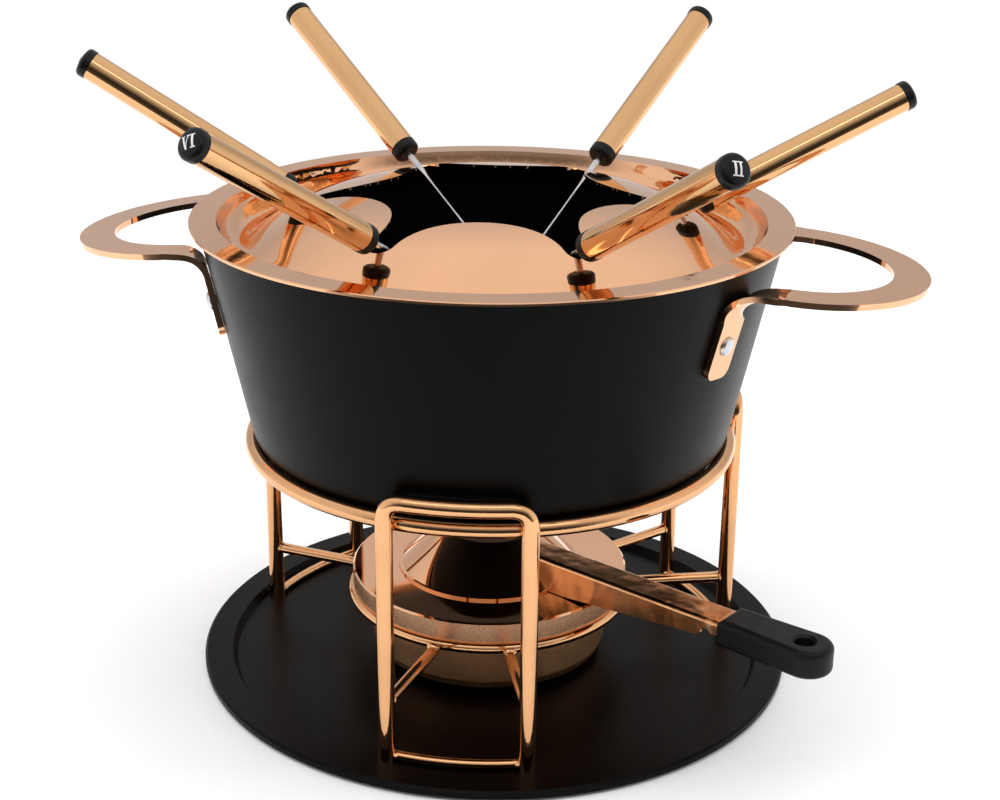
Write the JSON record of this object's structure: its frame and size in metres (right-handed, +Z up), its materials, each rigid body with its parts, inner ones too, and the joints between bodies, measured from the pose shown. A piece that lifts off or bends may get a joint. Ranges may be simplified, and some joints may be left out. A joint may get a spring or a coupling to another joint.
{
  "type": "fondue pot set",
  "caption": "Tapered fondue pot with loop handles on a wire stand and tray, with a spirit burner, snuffer and a lobed guide that holds numbered forks.",
  "frame": {"origin": "on the table under the tray, on the axis shared by the stand, the burner and the pot", "axes": "+Z up along that axis, +X through the right loop handle, -Y to the front"},
  "size_m": [0.2874, 0.2428, 0.214],
  "materials": {
    "copper_plate": "polished copper plating on steel",
    "black_enamel": "satin black enamel",
    "nonstick_black": "satin black non-stick coating",
    "steel": "drawn stainless wire",
    "rivet_metal": "domed rivet head",
    "black_plastic": "satin moulded plastic",
    "stone_wool": "pressed mineral wool"
  },
  "bodies": {
    "tray": {"tray": "black_enamel"},
    "stand": {"stand_ring": "copper_plate", "stand_leg_front": "copper_plate", "stand_leg_right": "copper_plate", "stand_leg_left": "copper_plate", "stand_foot_bars": "copper_plate", "stand_rods": "copper_plate", "burner_ring": "copper_plate"},
    "burner": {"burner_pan": "copper_plate", "burner_cover": "copper_plate", "burner_wool": "stone_wool", "burner_gauze": "steel"},
    "snuffer": {"snuffer_cap": "copper_plate", "snuffer_channel": "copper_plate", "snuffer_grip": "black_plastic"},
    "pot": {"pot": "nonstick_black", "loop_right": "copper_plate", "loop_left": "copper_plate", "rivets_right": "rivet_metal", "rivets_left": "rivet_metal"},
    "guide": {"fork_guide": "copper_plate"},
    "fork_1": {"fork_1_shank": "steel", "fork_1_ferrule": "black_plastic", "fork_1_tube": "copper_plate", "fork_1_cap": "black_plastic"},
    "fork_2": {"fork_2_shank": "steel", "fork_2_ferrule": "black_plastic", "fork_2_tube": "copper_plate", "fork_2_cap": "black_plastic"},
    "fork_3": {"fork_3_shank": "steel", "fork_3_ferrule": "black_plastic", "fork_3_tube": "copper_plate", "fork_3_cap": "black_plastic"},
    "fork_4": {"fork_4_shank": "steel", "fork_4_ferrule": "black_plastic", "fork_4_tube": "copper_plate", "fork_4_cap": "black_plastic"},
    "fork_5": {"fork_5_shank": "steel", "fork_5_ferrule": "black_plastic", "fork_5_tube": "copper_plate", "fork_5_cap": "black_plastic"},
    "fork_6": {"fork_6_shank": "steel", "fork_6_ferrule": "black_plastic", "fork_6_tube": "copper_plate", "fork_6_cap": "black_plastic"}
  },
  "joints": [
    {"name": "stand_lift", "type": "slide", "parent": "tray", "child": "stand", "axis": [0, 0, 1], "range_m": [0, 0.06]},
    {"name": "burner_lift", "type": "slide", "parent": "stand", "child": "burner", "axis": [0, 0, 1], "range_m": [0, 0.023]},
    {"name": "snuffer_lift", "type": "slide", "parent": "burner", "child": "snuffer", "axis": [0, 0, 1], "range_m": [0, 0.007]},
    {"name": "pot_lift", "type": "slide", "parent": "stand", "child": "pot", "axis": [0, 0, 1], "range_m": [0, 0.1]},
    {"name": "guide_lift", "type": "slide", "parent": "pot", "child": "guide", "axis": [0, 0, 1], "range_m": [0, 0.06]},
    {"name": "fork_1_slide", "type": "slide", "parent": "guide", "child": "fork_1", "axis": [0.851, 0.2963, 0.4337], "range_m": [0, 0.02]},
    {"name": "fork_2_slide", "type": "slide", "parent": "guide", "child": "fork_2", "axis": [0.5522, -0.6771, 0.4863], "range_m": [0, 0.02]},
    {"name": "fork_3_slide", "type": "slide", "parent": "guide", "child": "fork_3", "axis": [0.4079, 0.724, 0.5563], "range_m": [0, 0.02]},
    {"name": "fork_4_slide", "type": "slide", "parent": "guide", "child": "fork_4", "axis": [-0.6526, 0.5191, 0.5519], "range_m": [0, 0.02]},
    {"name": "fork_5_slide", "type": "slide", "parent": "guide", "child": "fork_5", "axis": [-0.8402, -0.1002, 0.5329], "range_m": [0, 0.02]},
    {"name": "fork_6_slide", "type": "slide", "parent": "guide", "child": "fork_6", "axis": [-0.4426, -0.7309, 0.5195], "range_m": [0, 0.02]}
  ]
}
